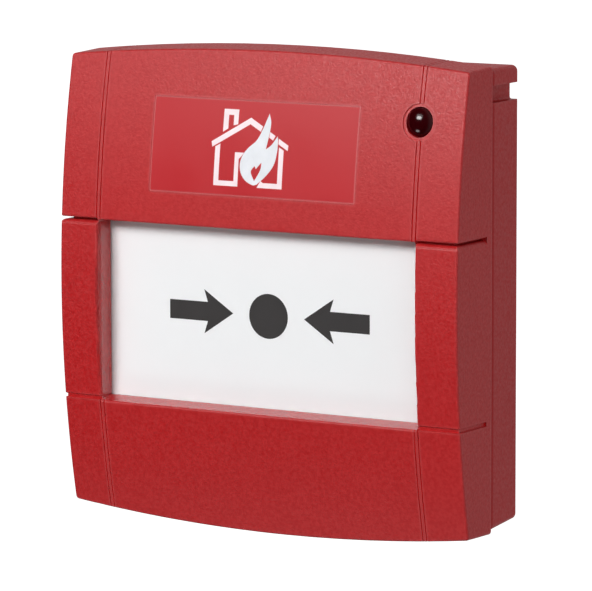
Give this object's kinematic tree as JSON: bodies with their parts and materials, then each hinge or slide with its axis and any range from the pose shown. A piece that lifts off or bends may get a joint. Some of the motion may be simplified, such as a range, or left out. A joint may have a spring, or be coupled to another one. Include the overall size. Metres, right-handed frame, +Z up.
{
  "type": "manual call point",
  "caption": "Resettable wall call point: bulged red cover hinged over a sprung white press element, with lamp lens, indicator flag, cover lock and wired mechanism in a rear housing.",
  "frame": {"origin": "middle of the two fixing holes on the back face of the rear housing", "axes": "+X to the right seen from the front, +Z up, the back face looks along +Y and the front faces -Y"},
  "size_m": [0.088, 0.024, 0.0931],
  "materials": {
    "red_cover": "fine matt texture",
    "red_housing": "fine matt texture",
    "label_red": "smooth satin film",
    "lens_red": "polished, tinted",
    "lock_black": "satin",
    "chassis_black": "fine matt texture",
    "carriage_grey": "satin",
    "flag_yellow": "satin",
    "element_white": "semi-gloss",
    "pusher_white": "satin",
    "zinc_steel": "bright zinc",
    "spring_steel": "drawn wire",
    "board_green": "solder-resist gloss",
    "led_clear": "clear tinted epoxy",
    "resistor_body": "lacquer",
    "tinned_wire": "tinned",
    "terminal_plastic": "satin",
    "terminal_brass": "nickel-plated brass",
    "switch_black": "satin",
    "contact_silver": "silver plated",
    "plunger_red": "satin",
    "wire_insulation": "smooth PVC"
  },
  "bodies": {
    "base": {"rear_housing": "red_housing", "hinge_pins": "zinc_steel", "mechanism_chassis": "chassis_black", "chassis_screws": "zinc_steel", "carriage_springs": "spring_steel", "pusher_spring": "spring_steel", "circuit_board": "board_green", "board_screws": "zinc_steel", "status_led": "led_clear", "alarm_resistor": "resistor_body", "resistor_lead": "tinned_wire", "terminal_block": "terminal_plastic", "terminal_clamps": "terminal_brass", "terminal_screws": "zinc_steel", "microswitch_body": "switch_black", "microswitch_terminals": "contact_silver", "microswitch_screws": "zinc_steel", "switch_wires": "wire_insulation"},
    "cover": {"front_cover": "red_cover", "label_panel": "label_red", "led_lens": "lens_red"},
    "lock": {"cover_lock": "lock_black"},
    "carriage": {"carriage": "carriage_grey", "indicator_flag": "flag_yellow", "element_springs": "spring_steel"},
    "element": {"operating_element": "element_white", "element_clips": "spring_steel"},
    "pusher": {"reset_pusher": "pusher_white"},
    "switch_lever": {"microswitch_lever": "contact_silver"},
    "switch_plunger": {"microswitch_plunger": "plunger_red"}
  },
  "joints": [
    {"name": "cover_hinge", "type": "hinge", "parent": "base", "child": "cover", "pos_m": [0, -0.0084, 0.0426], "axis": [-1, 0, 0], "range_deg": [0, 75]},
    {"name": "cover_lock_turn", "type": "hinge", "parent": "cover", "child": "lock", "pos_m": [-0.014, -0.014, -0.043], "axis": [0, 0, -1], "range_deg": [0, 90]},
    {"name": "carriage_drop", "type": "slide", "parent": "base", "child": "carriage", "axis": [0, 0, -1], "range_m": [0, 0.004], "deforming": ["carriage_springs"]},
    {"name": "element_press", "type": "slide", "parent": "carriage", "child": "element", "axis": [0, 1, 0], "range_m": [0, 0.0015], "stiffness_N_per_m": 600, "springref_m": -0.001, "deforming": ["element_springs"]},
    {"name": "reset_push", "type": "slide", "parent": "base", "child": "pusher", "axis": [0, 0, 1], "range_m": [0, 0.004], "stiffness_N_per_m": 150, "springref_m": -0.002, "deforming": ["pusher_spring"]},
    {"name": "switch_lever_swing", "type": "hinge", "parent": "base", "child": "switch_lever", "pos_m": [-0.0057, -0.012, -0.00655], "axis": [0, 1, 0], "range_deg": [0, 14.2]},
    {"name": "switch_plunger_travel", "type": "slide", "parent": "base", "child": "switch_plunger", "axis": [0, 0, -1], "range_m": [0, 0.00062]}
  ],
  "couplings": [
    {"joint": "switch_lever_swing", "follows": "carriage_drop", "rad_per_m": 61.087},
    {"joint": "switch_plunger_travel", "follows": "carriage_drop", "ratio": 0.15}
  ]
}
